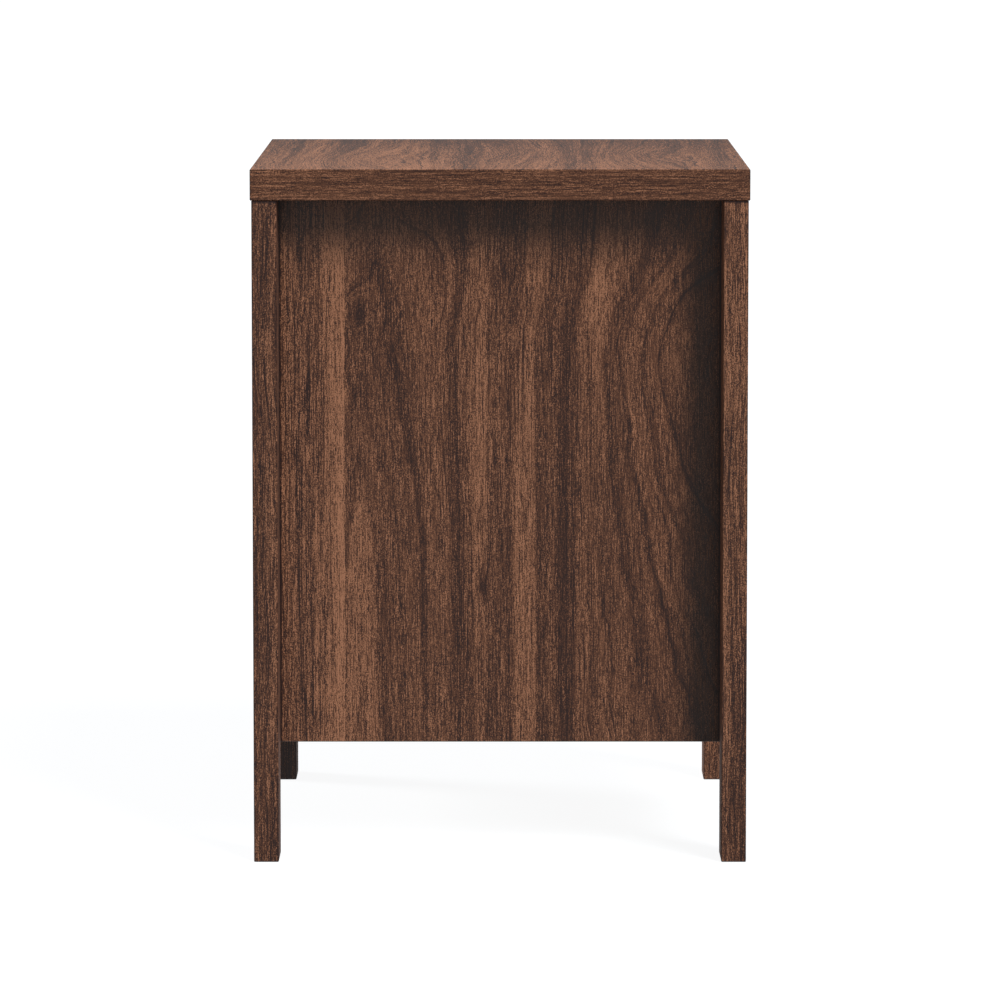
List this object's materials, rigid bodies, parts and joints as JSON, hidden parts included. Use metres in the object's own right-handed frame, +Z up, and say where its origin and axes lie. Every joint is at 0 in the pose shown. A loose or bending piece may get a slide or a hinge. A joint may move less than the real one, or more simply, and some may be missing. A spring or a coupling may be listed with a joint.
{
  "type": "nightstand",
  "caption": "Bedside cabinet on straight square legs, with a flat top and inset drawers that slide on roller runners and have scooped finger pulls.",
  "frame": {"origin": "on the floor, under the middle of the case", "axes": "+Z up, +X along the width to the right as seen from the drawers, +Y to the back, so the drawers open along -Y"},
  "size_m": [0.48, 0.4, 0.56],
  "materials": {
    "walnut": "satin lacquered dark walnut veneer",
    "walnut_inner": "matt dark walnut",
    "drawer_birch": "clear lacquered birch plywood",
    "dowel_beech": "plain beech",
    "runner_paint": "dark epoxy coating",
    "roller_nylon": "moulded nylon",
    "fastener_steel": "zinc plated",
    "insert_brass": "turned"
  },
  "bodies": {
    "case": {"back_panel": "walnut_inner", "bottom_panel": "walnut_inner", "cam_bolts": "fastener_steel", "cam_locks": "fastener_steel", "channel_pins": "fastener_steel", "channel_screws": "fastener_steel", "divider_rail": "walnut_inner", "front_left_leg": "walnut", "front_right_leg": "walnut", "left_side_panel": "walnut", "leg_bolts": "fastener_steel", "leg_inserts": "insert_brass", "lower_left_channel": "runner_paint", "lower_right_channel": "runner_paint", "rear_left_leg": "walnut", "rear_right_leg": "walnut", "right_side_panel": "walnut", "top_front_rail": "walnut_inner", "top_rear_rail": "walnut_inner", "top_screws": "fastener_steel", "top_slab": "walnut", "upper_left_channel": "runner_paint", "upper_right_channel": "runner_paint", "wood_dowels": "dowel_beech"},
    "lower_drawer": {"lower_drawer_front": "walnut", "lower_drawer_inner_front": "drawer_birch", "lower_drawer_left_side": "drawer_birch", "lower_drawer_right_side": "drawer_birch", "lower_drawer_back": "drawer_birch", "lower_drawer_bottom": "drawer_birch", "lower_drawer_front_screws": "fastener_steel", "lower_left_rail": "runner_paint", "lower_right_rail": "runner_paint", "lower_rail_screws": "fastener_steel", "lower_rail_pins": "fastener_steel"},
    "upper_drawer": {"upper_drawer_front": "walnut", "upper_drawer_inner_front": "drawer_birch", "upper_drawer_left_side": "drawer_birch", "upper_drawer_right_side": "drawer_birch", "upper_drawer_back": "drawer_birch", "upper_drawer_bottom": "drawer_birch", "upper_drawer_front_screws": "fastener_steel", "upper_left_rail": "runner_paint", "upper_right_rail": "runner_paint", "upper_rail_screws": "fastener_steel", "upper_rail_pins": "fastener_steel"},
    "lower_front_rollers": {"lower_left_front_roller": "roller_nylon", "lower_right_front_roller": "roller_nylon"},
    "lower_rear_rollers": {"lower_left_rear_roller": "roller_nylon", "lower_right_rear_roller": "roller_nylon"},
    "upper_front_rollers": {"upper_left_front_roller": "roller_nylon", "upper_right_front_roller": "roller_nylon"},
    "upper_rear_rollers": {"upper_left_rear_roller": "roller_nylon", "upper_right_rear_roller": "roller_nylon"}
  },
  "joints": [
    {"name": "lower_drawer_slide", "type": "slide", "parent": "case", "child": "lower_drawer", "axis": [0, -1, 0], "range_m": [0, 0.25]},
    {"name": "lower_front_rollers_spin", "type": "hinge", "parent": "case", "child": "lower_front_rollers", "pos_m": [0, -0.1648, 0.1283], "axis": [1, 0, 0], "range_deg": [0, 1792]},
    {"name": "lower_rear_rollers_spin", "type": "hinge", "parent": "lower_drawer", "child": "lower_rear_rollers", "pos_m": [0, 0.1592, 0.1283], "axis": [1, 0, 0], "range_deg": [0, 1792]},
    {"name": "upper_drawer_slide", "type": "slide", "parent": "case", "child": "upper_drawer", "axis": [0, -1, 0], "range_m": [0, 0.25]},
    {"name": "upper_front_rollers_spin", "type": "hinge", "parent": "case", "child": "upper_front_rollers", "pos_m": [0, -0.1648, 0.3428], "axis": [1, 0, 0], "range_deg": [0, 1792]},
    {"name": "upper_rear_rollers_spin", "type": "hinge", "parent": "upper_drawer", "child": "upper_rear_rollers", "pos_m": [0, 0.1592, 0.3428], "axis": [1, 0, 0], "range_deg": [0, 1792]}
  ],
  "couplings": [
    {"joint": "lower_front_rollers_spin", "follows": "lower_drawer_slide", "rad_per_m": 125},
    {"joint": "lower_rear_rollers_spin", "follows": "lower_drawer_slide", "rad_per_m": 125},
    {"joint": "upper_front_rollers_spin", "follows": "upper_drawer_slide", "rad_per_m": 125},
    {"joint": "upper_rear_rollers_spin", "follows": "upper_drawer_slide", "rad_per_m": 125}
  ]
}
